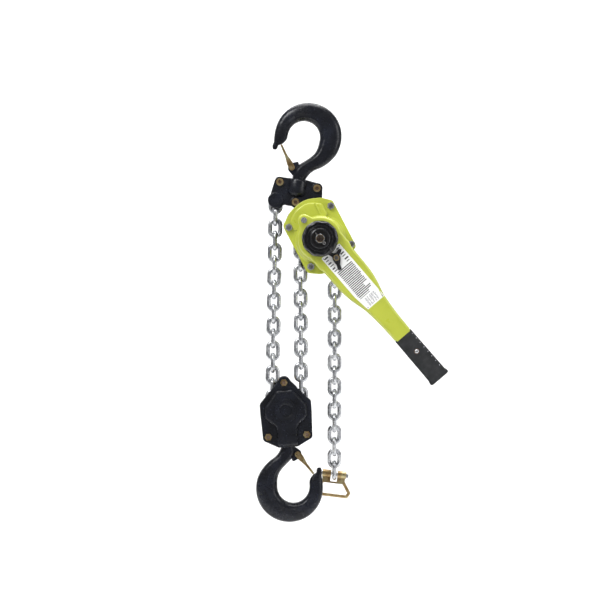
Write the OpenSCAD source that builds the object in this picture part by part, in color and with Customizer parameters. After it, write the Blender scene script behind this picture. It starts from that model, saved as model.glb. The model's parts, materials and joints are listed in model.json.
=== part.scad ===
/* [Hooks] */
// Radius of the round seat inside each hook
seat_r = 36; // [34:1:37]
// Thickness of each hook, front to back
hook_t = 34; // [30:1:36]
// Diameter of each hook's shank
shank_d = 30; // [26:1:30]
// Tilt of the top hook and yoke
yoke_tilt = 10; // [8:1:12]

/* [Load chain] */
// Diameter of the chain's wire
wire_d = 10; // [9.6:0.1:10]
// Length of one link along the chain, centre to centre
pitch = 28; // [28:0.1:28.2]
// Clear width inside a link
link_gap = 13; // [12.6:0.1:13.4]

/* [Hoist body] */
// Turn of the hoist body from upright
body_turn = 27; // [25:1:29]
// Half the clear space between the two side plates
plate_y = 22; // [22:0.5:23]
// Thickness of each side plate
plate_t = 5; // [4:0.5:5]

/* [Lever] */
// Turn of the lever from hanging straight down
lever_turn = 40.7; // [34:0.1:46]
// Distance from the drive shaft to the end of the grip
lever_reach = 417; // [405:1:430]
// Radius of the handwheel over its lobes
wheel_r = 41.4; // [38:0.2:43]

/* [Bottom block] */
// Tilt of the bottom block and its hook
block_tilt = 4; // [3:0.5:5]
// Width of the stop ring on the chain's free end
ring_w = 78; // [70:1:80]

/* [Hidden] */
$fn = 64;

// Colours of the finished hoist
LIME = "#c4d046";
BLACK = "#1b1d24";
ZINC = "#c9ccd0";
GOLD = "#b99a5a";
STEEL = "#9a9da1";
RUBBER = "#26272a";
WHITE = "#f2f2f0";

// Main places, as [x, z] in the front view; the origin is the centre of the top hook's seat
drive = [36.2, -234.5];
anchor = [-64, -144.3];
run = 0.3;                      // clearance between pieces that move past each other
skin = 3;                       // wall of the pressed and cast covers

// Load chain
crown_r = (link_gap + wire_d) / 2;
link_in = pitch + run;
leg = link_in + wire_d - 2 * crown_r;
wrap_step = 36;                 // angle of one link on the five-pocket load sheave
wrap_r = pitch / 2 / sin(wrap_step / 2);
wrap_start = 191;
wrap_links = 5;
idler_step = 45;                // angle of one link on the idler sheave
idler_r = pitch / 2 / sin(idler_step / 2);
idler_links = 3;
idler_lead = 6;                 // turn of the wrapped links from level
dead_top = [-65, -166.4];       // joint below the link that hangs on the anchor pin
dead_links = 17;
dead_upper_links = 6;           // links above the joints where the two falls swing
live_upper_links = 3;
dead_lean = 1.0;
live_links = 14;
tail_upper_links = 3;
tail_links = 17;
tail_in = 7;                    // slant of the first links, from the sheave to the chain guide
tail_lean = 8.5;                // the free end rests this far back, behind the bottom hook

dead_bottom = dead_top + pitch * dead_links * [-sin(dead_lean), -cos(dead_lean)];
idler_first = 270 + idler_lead - idler_step * idler_links / 2;
axle = dead_bottom - idler_r * [cos(idler_first), sin(idler_first)];
idler_joints = [for (k = [0 : idler_links]) axle + polar(idler_r, idler_first + idler_step * k)];
wrap_joints = [for (k = [0 : wrap_links]) drive + polar(wrap_r, wrap_start - wrap_step * k)];
tail_top = wrap_joints[wrap_links];
tail_swing = tail_top - pitch * tail_upper_links * [sin(tail_in), cos(tail_in)];
crown_drop = (link_in + wire_d - pitch) / 2;    // from a joint down to the upper link's bottom wire
tail_pivot = tail_swing - [0, crown_drop];

// Frame and drive train along y, front negative
plate_out = plate_y + plate_t;
brake_front = -52;              // front face of the brake cover
case_back = -57;                // rear and front faces of the lever's case
case_split = -73;
case_front = -87;
wheel_back = -98;
wheel_front = -124;
stays = [[-50.4, 56.5], [57, 56.5], [59, -42.5], [-46.5, -46]];
spacer_r = 6;
journal_r = 16;                 // journals of the load sheave
shaft_r = 8;
gear_shaft_r = 5.5;
bush_r = 8;
gear_back = 60;

// Gears: module, tooth counts, face widths
fine_m = 1.5;
coarse_m = 2.25;
pinion_z = 12;
disc_z = 42;
disc_pinion_z = 9;
load_z = 27;
gear_gap = fine_m * (pinion_z + disc_z) / 2;
coarse_y = [29, 37];
fine_y = [40, 47];
drive_z = 20;
drive_m = 2.6;

// Selector and handle, in the lever's own frame: x across, z up along the lever
selector_s = 56.6;
selector_turn = -24;
handle_y = [-83, -63];

function polar(r, a) = [r * cos(a), r * sin(a)];
function arc(c, r, a0, a1, n = 12) = [for (k = [0 : n]) c + polar(r, a0 + (a1 - a0) * k / n)];
// A point turned clockwise by a about the origin
function turned(p, a) = [p[0] * cos(a) + p[1] * sin(a), p[1] * cos(a) - p[0] * sin(a)];
function unit(v) = v / norm(v);
function short_turn(a) = a > 180 ? a - 360 : a < -180 ? a + 360 : a;
function head(a, b) = atan2(b[1] - a[1], b[0] - a[0]);
// One corner of an outline, rounded to radius r by an arc between its two sides
function corner(a, p, b, r, n) =
    r == 0 ? [p] :
    let (u = unit(a - p), v = unit(b - p), half = acos(u * v) / 2)
    let (c = p + unit(u + v) * r / sin(half), t = r / tan(half))
    let (s = head(c, p + u * t), e = short_turn(head(c, p + v * t) - s))
    [for (k = [0 : n]) c + polar(r, s + e * k / n)];
// An outline from points [x, z, corner radius]
function rounded(q, n = 5) = let (c = len(q)) [for (i = [0 : c - 1])
    let (a = q[(i + c - 1) % c], p = q[i], b = q[(i + 1) % c])
    each corner([a[0], a[1]], [p[0], p[1]], [b[0], b[1]], p[2], n)];

module across(y0, y1) translate([0, y1, 0]) rotate([90, 0, 0]) linear_extrude(y1 - y0) children();
module pin_y(r, y0, y1, p = [0, 0])
    translate([p[0], y1, p[1]]) rotate([90, 0, 0]) cylinder(r = r, h = y1 - y0);
module spot(p) translate([p[0], 0, p[1]]) children();
module at_yoke() rotate([0, yoke_tilt, 0]) children();
module at_drive() spot(drive) children();
module at_body() at_drive() rotate([0, -body_turn, 0]) children();
module at_lever() at_drive() rotate([0, -lever_turn, 0]) children();
module at_block() spot(axle) rotate([0, -block_tilt, 0]) children();
module at_bottom_hook() at_block() spot(block_seat) rotate([0, 180, 0]) children();
// A hexagon's corners lie this far out for a nut of radius r across the flats
module hex(r, y0, y1, p = [0, 0])
    translate([p[0], y1, p[1]]) rotate([90, 0, 0]) cylinder(r = r / cos(30), h = y1 - y0, $fn = 6);
module box(x, y, z) translate([x[0], y[0], z[0]]) cube([x[1] - x[0], y[1] - y[0], z[1] - z[0]]);

// ---------------------------------------------------------------- load chain
module link_solid() union() {
    for (s = [-1, 1]) translate([s * crown_r, 0, -leg / 2]) cylinder(r = wire_d / 2, h = leg, $fn = 32);
    for (m = [0, 1]) mirror([0, 0, m]) translate([0, 0, leg / 2]) rotate([90, 0, 0])
        rotate_extrude(angle = 180) translate([crown_r, 0]) circle(r = wire_d / 2, $fn = 32);
}

// One link between the joints a and b; an edge link is turned a quarter about its length
module link(a, b, edge) spot((a + b) / 2)
    rotate([0, 90 - head(a, b), 0]) rotate([0, 0, edge ? 90 : 0]) link_solid();

module chain(joints, edge_first) for (k = [0 : len(joints) - 2])
    link(joints[k], joints[k + 1], (k % 2 == 0) == edge_first);

function dead_joint(k) = dead_top + (dead_bottom - dead_top) * k / dead_links;
function live_joint(k) = wrap_joints[0] + (idler_joints[idler_links] - wrap_joints[0]) * k / live_links;
function tail_joint(k) = tail_top + (tail_swing - tail_top) * k / tail_upper_links;

module chain_dead_upper() color(ZINC) {
    link(dead_top + [0, pitch], dead_top, false);
    chain([for (k = [0 : dead_upper_links]) dead_joint(k)], true);
}

module chain_on_sheave() color(ZINC) {
    chain(wrap_joints, true);
    chain([for (k = [0 : live_upper_links]) live_joint(k)], false);
    chain([for (k = [0 : tail_upper_links]) tail_joint(k)], false);
}

module chain_falls() color(ZINC) {
    chain([for (k = [dead_upper_links : dead_links]) dead_joint(k)], true);
    chain(idler_joints, false);
    chain([for (k = [live_upper_links : live_links]) live_joint(k)], true);
}

module chain_tail() color(ZINC) at_tail()
    chain([for (k = [0 : tail_links]) [0, -pitch * k]], true);

// The free end's own frame: its swing joint, with the chain leaning back
module at_tail() spot(tail_pivot) rotate([tail_lean, 0, 0]) translate([0, 0, crown_drop]) children();

// ---------------------------------------------------------------- hooks, in the hook's own frame
back_c = [9.5, 4.2];            // centre and radius of the hook's round back
back_r = 78;
shank_x = 5;
latch_pivot = [-15, -73];
latch_tip = [-50, -23];
lug_t = 14;
shank_end = -119.5;             // end of the shank, inside the yoke or the block

function hook_outline() = concat(
    rounded([[22, -84, 0], [26, -76, 0], [36, -69, 0]]),
    arc(back_c, back_r, -64, 190, 28),
    arc([-61, -32], 6.5, 170, 290, 5), [[-54, -33], [-47, -31], [-41, -22]],
    arc([0, 0], seat_r - 1, 182, -14, 20),
    [[36, -20], [33, -31], [24, -42], [0, -62], [-6, -70], [-10, -84]]);

module hook_forging() union() {
    difference() {
        union() {
            across(-8, 8) polygon(hook_outline());
            across(-hook_t / 2 + 4, hook_t / 2 - 4) offset(delta = -3) polygon(hook_outline());
            across(-hook_t / 2, hook_t / 2) offset(delta = -8) polygon(hook_outline());
            across(-lug_t / 2, lug_t / 2) polygon(rounded([
                [-3, -58, 0], [-22, -64, 8], [-25, -80, 8], [-9, -90, 3], [4, -84, 0]]));
        }
        pin_y(seat_r, -hook_t, hook_t);
        pin_y(3, -hook_t, hook_t, latch_pivot);
    }
    translate([shank_x, 0, shank_end]) cylinder(r = shank_d / 2, h = -80 - shank_end);
}

// Castellated collar screwed and pinned on the shank's end
module shank_nut() translate([shank_x, 0, shank_end]) difference() {
    cylinder(r = 20, h = 12);
    translate([0, 0, -1]) cylinder(r = shank_d / 2, h = 14);
}

module latch_pin() union() {
    pin_y(3, -11, 11, latch_pivot);
    for (y = [-11, 9.9]) pin_y(4.2, y, y + 1.1, latch_pivot);
}

// Pressed latch: a channel that straddles the lug and closes against the hook's nose
module latch() difference() {
    spot(latch_pivot) rotate([0, 90 - head(latch_pivot, latch_tip), 0]) union() {
        across(-9.5, 9.5) polygon(rounded([
            [-7, -7, 6.8], [7, -7, 6.8], [6.5, 20, 8], [3, 40, 0], [2.4, 52, 2], [-2.4, 52, 2], [-4, 40, 0],
            [-7.5, 20, 8]]));
    }
    spot(latch_pivot) rotate([0, 90 - head(latch_pivot, latch_tip), 0])
        box([-20, 10], [-lug_t / 2 - run, lug_t / 2 + run], [-12, 30]);
    pin_y(3 + run / 2, -12, 12, latch_pivot);
}

module top_hook() color(BLACK) at_yoke() hook_forging();
module top_hook_nut() color(STEEL) at_yoke() shank_nut();
module top_latch_pin() color(GOLD) at_yoke() latch_pin();
module top_latch() color(GOLD) at_yoke() latch();
module bottom_hook() color(BLACK) at_bottom_hook() hook_forging();
module bottom_hook_nut() color(STEEL) at_bottom_hook() shank_nut();
module bottom_latch_pin() color(GOLD) at_bottom_hook() latch_pin();
module bottom_latch() color(GOLD) at_bottom_hook() latch();

// ---------------------------------------------------------------- yoke, in the top hook's frame
yoke_bolt_at = [[-36.2, -111], [49.9, -110.5], [7.1, -150]];
dead_pin_at = [-38.9, -153.6];
hang_pin_at = [35, -153];
hang_head_r = 10;
yoke_y = 20.5;                  // half the yoke's thickness
barrel_r = 25;
pocket = [-122, -107.2];        // height of the room for the shank's nut

function yoke_outline() = rounded([
    [-48, -99, 9], [25, -95.5, 30], [62, -99, 10], [66, -131, 6], [53, -168, 16], [26, -170, 14],
    [8, -161, 10], [-20, -161, 6], [-24, -173, 10], [-50, -173, 14], [-54, -150, 8]]);

module yoke_solid() difference() {
    union() {
        across(-yoke_y + 6, yoke_y - 6) polygon(yoke_outline());
        across(-yoke_y, yoke_y) polygon(rounded([
            [-54, -141, 10], [-24, -137, 10], [-19, -152, 8], [-19, -172, 14], [-52, -172, 16]]));
        translate([shank_x, 0, pocket[0] - 3]) cylinder(r = barrel_r, h = -97 - pocket[0] + 3);
        across(-yoke_y, yoke_y)
            polygon(rounded([[20, -139, 8], [50, -139, 8], [51, -167, 14], [22, -167, 12]]));
    }
    translate([shank_x, 0, pocket[0] - 20]) cylinder(r = shank_d / 2 + run, h = 80);
    translate([shank_x, 0, pocket[0]]) cylinder(r = 20 + 2 * run, h = pocket[1] - pocket[0]);
    for (p = yoke_bolt_at) pin_y(5, -50, 50, p);
    pin_y(dead_pin_r, -50, 50, dead_pin_at);
    pin_y(8, -50, 50, hang_pin_at);
    // room for the links at the dead end
    box([-58, -14.5], [-7, 7], [-180, -131]);
    box([-45, -18], [-17.2, 17.2], [-200, -162.5]);
}
dead_pin_r = 6;

module half(front) intersection() {
    children();
    translate([-200, front ? -200 : 0, -900]) cube([400, 200, 1100]);
}

module yoke_front() color(BLACK) at_yoke() half(true) yoke_solid();
module yoke_rear() color(BLACK) at_yoke() half(false) yoke_solid();

// Socket-headed bolt with its nut behind, gripping from y = -grip to y = grip
module clamp_bolt(p, grip, head_r = 8.5) {
    difference() {
        pin_y(head_r, -grip - 7, -grip, p);
        hex(4, -grip - 8, -grip - 3, p);
    }
    pin_y(5, -grip, grip + 9, p);
    difference() {
        hex(8, grip, grip + 7, p);
        pin_y(5, grip - 1, grip + 8, p);
    }
}

module yoke_bolts() color(GOLD) at_yoke() for (p = yoke_bolt_at) clamp_bolt(p, yoke_y - 6);
module dead_end_pin() color(BLACK) at_yoke() union() {
    pin_y(dead_pin_r, -yoke_y, yoke_y, dead_pin_at);
    pin_y(10, -yoke_y - 2, -yoke_y, dead_pin_at);
    pin_y(10, yoke_y, yoke_y + 2, dead_pin_at);
}
module suspension_pin() color(STEEL) at_yoke() union() {
    pin_y(8, -plate_out, plate_out, hang_pin_at);
    for (y = [-plate_out - 1.5, plate_out]) pin_y(hang_head_r, y, y + 1.5, hang_pin_at);
}

// ---------------------------------------------------------------- hoist frame, in the body's frame
hang_at = turned(turned(hang_pin_at, yoke_tilt) - drive, body_turn);
bearing_r = 22;
cover_r = 55;
pawl_pin_at = [polar(44, 165), polar(44, -15)];
guide_at = [-36, -53];

function cover_outline() = concat(arc([0, 22], 72, 27, 146, 20), arc([0, -10], 68, 209, 330, 20));

module plate_outline() union() {
    polygon(cover_outline());
    for (p = stays) translate(p) circle(r = 9);
    translate(hang_at) circle(r = 16);
}

module side_plate(y0) difference() {
    across(y0, y0 + plate_t) plate_outline();
    pin_y(bearing_r, y0 - 1, y0 + plate_t + 1);
    for (p = stays) pin_y(5, y0 - 1, y0 + plate_t + 1, p);
    pin_y(8, y0 - 1, y0 + plate_t + 1, hang_at);
}

module front_side_plate() color(STEEL) at_body() difference() {
    side_plate(-plate_out);
    for (p = pawl_pin_at) pin_y(3, -50, 0, p);
}
module rear_side_plate() color(STEEL) at_body() difference() {
    side_plate(plate_y);
    for (s = [-1, 1]) pin_y(bush_r, 0, 50, [0, s * gear_gap]);
}

module stay_bolts() color(STEEL) at_body() for (p = stays) union() {
    pin_y(spacer_r, -plate_y, plate_y, p);
    pin_y(5, -41, -plate_y, p);
    pin_y(5, plate_y, 40, p);
}

module stay_nuts() color(ZINC) at_body() for (p = stays) union() {
    for (y = [-30.5 - 7, 30.5]) difference() {
        hex(7.6, y, y + 7, p);
        pin_y(5, y - 1, y + 8, p);
    }
}

module sheave_bearings() color(STEEL) at_body() for (y = [-plate_out, plate_y]) difference() {
    pin_y(bearing_r, y, y + plate_t);
    pin_y(journal_r + run / 4, y - 1, y + plate_t + 1);
}

// Block between the plates, under the sheave, that parts the two falls; one stay passes through it
module chain_guide() color(BLACK) at_drive() difference() {
    across(-plate_y + run, plate_y - run)
        polygon(rounded([[-26.6, -54, 3], [14, -54, 3], [14, -71, 5], [-18, -73, 8], [-26.6, -70, 4]]));
    rotate([0, -body_turn, 0]) pin_y(spacer_r, -30, 30, stays[3]);
    box([-4, 20], [-finger_t / 2, finger_t / 2], [-63, -50]);
}

// Finger in the sheave's groove that lifts the free chain out of it
module chain_stripper() color(STEEL) at_drive() across(-finger_t / 2, finger_t / 2)
    polygon(rounded([[-4, -63, 0], [-4, -46, 3], [3, -28, 1], [9, -28, 1], [13.5, -45, 4], [13.5, -63, 0]]));
finger_t = 9;

module cover_flange(y0) across(y0, y0 + skin) plate_outline();

module brake_cover() color(LIME) at_body() difference() {
    union() {
        cover_flange(-30.2);
        pin_y(cover_r, brake_front, -28);
        across(-39, -28) polygon(concat(arc([0, 22], 63, 48, 124, 16), arc([0, 0], 50, 158, 22, 8)));
    }
    pin_y(cover_r - skin, brake_front + skin, -20);
    pin_y(20, brake_front - 1, -20);
    across(-36, -20) polygon(concat(arc([0, 22], 60, 52, 120, 16), arc([0, 0], 50, 150, 30, 8)));
    for (p = stays) pin_y(5.1, -50, -20, p);
    pin_y(hang_head_r + run, -28.8, -20, hang_at);
}

function gear_case_outline() = rounded([
    [-38, 78, 24], [38, 78, 24], [46, 0, 60], [38, -78, 24], [-37, -78, 24], [-37, -24, 20],
    [-46, 0, 60]]);

module gear_cover() color(LIME) at_body() difference() {
    union() {
        cover_flange(plate_out + 0.2);
        across(28, gear_back) polygon(gear_case_outline());
    }
    across(20, gear_back - 8) offset(delta = -skin) polygon(gear_case_outline());
    pin_y(bush_r, 20, gear_back - 2);
    for (s = [-1, 1]) pin_y(bush_r, 20, gear_back - 2, [0, s * gear_gap]);
    for (p = stays) pin_y(5.1, 20, 50, p);
    pin_y(hang_head_r + run, 20, 28.8, hang_at);
}

// Plain bushes of the gear shafts, in the rear side plate and in the gear cover
module gear_bushes() color(GOLD) at_body() difference() {
    union() {
        for (s = [-1, 1]) pin_y(bush_r, plate_y, plate_out, [0, s * gear_gap]);
        for (s = [-1, 0, 1]) pin_y(bush_r, gear_back - 8, gear_back - 2, [0, s * gear_gap]);
    }
    for (s = [-1, 0, 1]) pin_y(gear_shaft_r + run / 5, 20, gear_back, [0, s * gear_gap]);
}

// ---------------------------------------------------------------- drive train
press = 25;                     // pressure angle of every gear
function inv(a) = tan(a) * 180 / PI - a;
// Half the angle that a tooth spans at radius r, with a little backlash
function half_tooth(z, m, r) = let (p = m * z / 2)
    90 / z + inv(press) - inv(acos(min(1, p * cos(press) / r))) - 0.09 / p * 180 / PI;
function gear_outline(z, m, turn) =
    let (top = m * (z / 2 + 0.75), low = m * (z / 2 - 1), base = max(low, m * z / 2 * cos(press)))
    [for (i = [0 : z - 1], f = [-1, 1], k = [0 : 4])
        let (j = f < 0 ? k : 4 - k, r = j == 0 ? low : base + (top - base) * (j - 1) / 3)
        polar(r, turn + 360 * i / z + f * half_tooth(z, m, max(r, base)))];

pinion_turn = 90;
load_turn = 90;
disc_upper_turn = 270 - 180 / disc_z;
disc_lower_turn = 90 - 180 / disc_z;
disc_pinion_upper_turn = 270 - 180 / disc_pinion_z;
disc_pinion_lower_turn = 90;

module load_sheave() color(STEEL) at_drive() difference() {
    union() {
        pin_y(25.5, -20, 20);
        for (s = [-1, 1]) {
            pin_y(37, min(s * 6.2, s * 20), max(s * 6.2, s * 20));
            for (k = [0 : 4]) across(min(s * 6.2, s * 15), max(s * 6.2, s * 15))
                rotate(137 - 72 * k) polygon([[30, -4.4], [46, -2.6], [46, 2.6], [30, 4.4]]);
        }
        pin_y(journal_r, -28, 29);
        rotate([0, -body_turn, 0]) pin_y(12, 28, coarse_y[1], [0, 0]);
    }
    pin_y(shaft_r + run, -60, 60);
}

module load_gear() color(STEEL) at_body() difference() {
    across(coarse_y[0], coarse_y[1]) polygon(gear_outline(load_z, coarse_m, load_turn));
    pin_y(12, 0, 60);
}

module disc_gear(s, turn, pinion_a) at_body() spot([0, s * gear_gap]) union() {
    pin_y(gear_shaft_r, plate_y, coarse_y[0]);
    across(coarse_y[0] - 1, fine_y[0] + 1) polygon(gear_outline(disc_pinion_z, coarse_m, pinion_a));
    across(fine_y[0], fine_y[1]) polygon(gear_outline(disc_z, fine_m, turn));
    pin_y(gear_shaft_r, fine_y[1], gear_back - 3);
}
module disc_gear_upper() color(STEEL) disc_gear(1, disc_upper_turn, disc_pinion_upper_turn);
module disc_gear_lower() color(STEEL) disc_gear(-1, disc_lower_turn, disc_pinion_lower_turn);

nut_y = [-134, -126];           // castle nut on the drive shaft
split_y = -131.5;
split_turn = -40;

module drive_shaft() color(STEEL) at_drive() difference() {
    union() {
        pin_y(shaft_r, -139, coarse_y[1] + 1);
        rotate([0, -body_turn, 0]) across(coarse_y[1] + 1, fine_y[1] + 1)
            polygon(gear_outline(pinion_z, fine_m, pinion_turn));
        pin_y(gear_shaft_r, fine_y[1], gear_back - 3);
    }
    at_split() cylinder(r = 1.7, h = 60, center = true);
}
module at_split() translate([0, split_y, 0]) rotate([0, split_turn, 0]) children();

module brake_hub() color(STEEL) at_drive() difference() {
    union() {
        pin_y(33, -34, -28.5);
        pin_y(14, -46.4, -34);
    }
    pin_y(shaft_r, -60, 0);
}

module friction_discs() color("#6b4b3a") at_drive() for (y = [-37.2, -46.3]) difference() {
    pin_y(31, y, y + 3);
    pin_y(14, y - 1, y + 4);
}

ratchet_z = 16;
ratchet_y = [-42.9, -37.5];
module ratchet_disc() color(STEEL) at_body() difference() {
    across(ratchet_y[0], ratchet_y[1]) polygon([for (i = [0 : ratchet_z - 1]) let (a = 3.6 + 22.5 * i)
        each [polar(34.5, a), polar(30, a + 19.5), polar(30, a + 22.5)]]);
    pin_y(14.3, -60, 0);
}

// Pawl: a pivoted arm outside the teeth, with its nose resting before one of them
pawl_edge = [[40, 165], [36.5, 176], [35.6, 187], [31.2, 202.5], [31.4, 204.8], [36, 204.4], [42, 192],
    [47, 177], [48, 165]];
module pawl(k) color(STEEL) at_body() difference() {
    across(ratchet_y[0], ratchet_y[1]) rotate(-180 * k) union() {
        translate(pawl_pin_at[0]) circle(r = 5.5, $fn = 32);
        polygon([for (q = pawl_edge) polar(q[0], q[1])]);
    }
    pin_y(3 + run / 4, -60, 0, pawl_pin_at[k]);
}
module pawl_left() pawl(0);
module pawl_right() pawl(1);
module pawl_pins() color(ZINC) at_body() for (p = pawl_pin_at) union() {
    pin_y(3, -45, -plate_y, p);
    pin_y(4.5, -46.5, -45, p);
}

module drive_gear() color(STEEL) at_drive() difference() {
    union() {
        pin_y(31, -48.6, -46.5);
        pin_y(17, -61, -48);
        across(-70, -60) polygon(gear_outline(drive_z, drive_m, 0));
        pin_y(12, case_front - 2, -69);
    }
    pin_y(shaft_r, -100, 0);
}

module castle_nut() color(GOLD) at_drive() difference() {
    hex(8.6, nut_y[0], nut_y[1]);
    pin_y(shaft_r, -150, 0);
    for (a = [0, 60, 120]) rotate([0, a + split_turn, 0]) box([-1.8, 1.8], [nut_y[0] - 1, -129.5], [-15, 15]);
}

// Split pin: an eye at one end and two opened legs at the other
module split_pin() color(STEEL) at_drive() at_split() union() {
    cylinder(r = 1.5, h = 24, center = true, $fn = 16);
    translate([0, 0, -14]) rotate([90, 0, 0]) rotate_extrude() translate([2.6, 0]) circle(r = 1.1, $fn = 16);
    for (s = [-1, 1]) translate([0, 0, 11]) rotate([s * 38, 0, 0]) cylinder(r = 1.1, h = 6, $fn = 16);
}

lobes = 10;
function wheel_outline(r) = [for (a = [0 : 3 : 357]) polar(r - 1.3 + 1.3 * cos(lobes * a), a)];
module handwheel() color(BLACK) at_drive() difference() {
    union() {
        across(-119, wheel_back - 3) polygon(wheel_outline(wheel_r));
        across(-122, wheel_back) polygon(wheel_outline(wheel_r - 2.5));
        pin_y(24, wheel_front, -118);
    }
    pin_y(shaft_r + run / 3, -150, 0);
    pin_y(14, -150, -116);
    pin_y(18.6, -150, -118.5);
    difference() {
        pin_y(34, -150, -117);
        pin_y(22, -150, 0);
    }
}

spring_turns = 3;
module handwheel_spring() color(ZINC) at_drive() translate([0, -116.2, 0]) rotate([90, 0, 0])
    coil(9.3, 0.8, spring_turns, 8);

// A helical wire of radius w on a coil of radius r, with whole turns over the height h
module coil(r, w, turns, h) {
    n = 14;
    sides = 6;
    rings = [for (i = [0 : turns * n]) let (a = 360 * i / n) [for (k = [0 : sides - 1])
        let (q = polar(w, 360 * k / sides))
        [(r + q[0]) * cos(a), (r + q[0]) * sin(a), w + h * i / (turns * n) + q[1]]]];
    last = len(rings) - 1;
    polyhedron([for (g = rings) each g], concat(
        [[for (k = [0 : sides - 1]) k]], [[for (k = [0 : sides - 1]) last * sides + sides - 1 - k]],
        [for (i = [0 : last - 1], k = [0 : sides - 1]) let (j = (k + 1) % sides)
            [i * sides + k, (i + 1) * sides + k, (i + 1) * sides + j, i * sides + j]]));
}

// ---------------------------------------------------------------- lever
lobe_at = [0, 55.6];
case_screws = [[-31, -122], [31, -122]];
grip_s = [287, lever_reach];
grip_y = [-87, -59];
tang_y = [-82, -64];

// Half the lever's width at distances s from the shaft
half_width = [[67, 41.5], [103, 40.7], [130, 39.5], [155, 35.5], [190, 26.7], [225, 23], [250, 21.5],
    [287, 20.5]];
module case_outline(inset = 0) offset(delta = -inset) union() {
    circle(r = 50);
    translate(lobe_at) circle(r = 14);
    polygon(rounded([[-34, 36, 0], [34, 36, 0], [12, 62, 6], [-12, 62, 6]]));
    polygon(concat([[49.5, -8]], [for (p = half_width) [p[1], -p[0]]],
        [[18, -290], [18, -400], [-18, -400], [-18, -290]],
        [for (i = [len(half_width) - 1 : -1 : 0]) [-half_width[i][1], -half_width[i][0]]], [[-49.5, -8]]));
}

// Deep part round the mechanism, and the shallow arm that runs into the grip
module case_solid(inset) {
    across(case_front + inset, case_back - inset) intersection() {
        case_outline(inset);
        translate([-60, -205]) square([120, 300]);
    }
    across(tang_y[0] + inset, tang_y[1] - inset) case_outline(inset);
}

module case_shell() difference() {
    case_solid(0);
    difference() {
        case_solid(skin);
        for (p = case_screws) pin_y(6, -90, -50, p);
        pin_y(8, -90, -50, lobe_at);
        pin_y(7, -90, -50, [0, -335]);
    }
    pin_y(17 + run / 4, -60, 0);
    pin_y(12 + run / 4, -100, -70);
    pin_y(6 + run / 4, -100, -70, [0, -selector_s]);
    for (p = case_screws) pin_y(3, -80, -50, p);
    pin_y(3, -100, -50, lobe_at);
    pin_y(3, -100, -50, [0, -335]);
}

module lever_case_front() color(LIME) at_lever() intersection() {
    case_shell();
    box([-80, 80], [case_front - 1, case_split], [-450, 100]);
}
module lever_case_rear() color(LIME) at_lever() intersection() {
    case_shell();
    box([-80, 80], [case_split, case_back + 1], [-450, 100]);
}

module lever_screws() color(ZINC) at_lever() {
    union() {
        pin_y(3, case_front, -60, lobe_at);
        difference() {
            pin_y(6.7, case_front - 4, case_front, lobe_at);
            spot(lobe_at) box([-7, 7], [-95, case_front - 2.6], [-0.8, 0.8]);
        }
    }
    for (p = case_screws) union() {
        pin_y(3, -79, case_back, p);
        pin_y(5.5, case_back, case_back + 3, p);
    }
}

module label_plate() color(WHITE) at_lever() difference() {
    across(case_front - 0.8, case_front)
        polygon(rounded([[-27, -34, 2], [26.4, -34, 2], [26.4, -192, 2], [-22, -192, 2], [-27, -150, 0]]));
    pin_y(13.5, -100, -80, [0, -selector_s]);
    pin_y(13, -100, -80);
}

module grip_outline(grow = 0) polygon(rounded([
    [-22.5, -grip_s[0], 2], [22.5, -grip_s[0], 2], [23.5, -lever_reach + 14, 4], [25.5, -lever_reach + 8, 3],
    [25.5, -lever_reach, 4], [-25.5, -lever_reach, 4], [-25.5, -lever_reach + 8, 3],
    [-23.5, -lever_reach + 14, 4]]));
module grip() color(RUBBER) at_lever() difference() {
    union() {
        across(grip_y[0] + 3, grip_y[1] - 3) grip_outline();
        across(grip_y[0], grip_y[1]) offset(delta = -3) grip_outline();
    }
    across(tang_y[0], tang_y[1]) case_outline();
    pin_y(6.5, -100, tang_y[0] + 1, [0, -335]);
    pin_y(6.5, tang_y[1] - 1, -50, [0, -335]);
    for (k = [0 : 7]) spot([24, -296 - 15 * k]) rotate([0, 45, 0]) cube([2.4, 60, 2.4], center = true);
}
module grip_screw() color(ZINC) at_lever() union() {
    pin_y(3, tang_y[0], tang_y[1], [0, -335]);
    pin_y(6, tang_y[0] - 2.5, tang_y[0], [0, -335]);
    pin_y(6, tang_y[1], tang_y[1] + 2.5, [0, -335]);
}

module at_selector() at_lever() spot([0, -selector_s]) rotate([0, -selector_turn, 0]) children();
module selector_lever() color(BLACK) at_selector() difference() {
    across(-95.5, -89.5) polygon(rounded([
        [-6, -29, 5], [6, -29, 5], [5, -17, 4], [9.5, -4, 6], [9, 4, 3], [17, 13, 3], [12, 19, 3], [0, 10, 6],
        [-12, 19, 3], [-17, 13, 3], [-9, 4, 3], [-9.5, -4, 6], [-5, -17, 4]]));
    pin_y(4.5, -100, -80);
}
module selector_shaft() color(STEEL) at_selector() union() {
    pin_y(4.5, -98.5, -88);
    pin_y(6, -89.2, -70);
    across(-70, -61) hull() {
        circle(r = 8, $fn = 32);
        for (s = [-1, 1]) translate(polar(24, 90 + s * selector_turn)) circle(r = 2, $fn = 16);
    }
}
module selector_nut() color(GOLD) at_selector() difference() {
    hex(6.5, -99.5, -95.5);
    pin_y(4.5, -110, -80);
}

// ---------------------------------------------------------------- bottom block, in its own frame
block_seat = [shank_x, -175.5];     // centre of the bottom hook's seat, below the idler's axle
block_bolt_at = [[0, 64], [44, -57.5], [-44, -57.5]];
block_in = 19.5;
block_plate = 25;
block_face = 34;
axle_r = 9;

module block_outline() union() {
    polygon(rounded([[-16, 66, 12], [0, 92, 14], [16, 66, 12], [59.5, 18, 8], [59.5, -2, 30], [57, -66, 9],
        [22, -84, 8], [-22, -84, 8], [-57, -66, 9], [-59.5, -2, 30], [-59.5, 18, 8]]));
}
function pan_outline() = rounded([
    [19, 48, 5], [49, 12, 8], [50, -14, 14], [24, -38, 16], [23, -82, 4],
    [-23, -82, 4], [-24, -38, 16], [-50, -14, 14], [-49, 12, 8], [-19, 48, 5]]);

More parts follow.
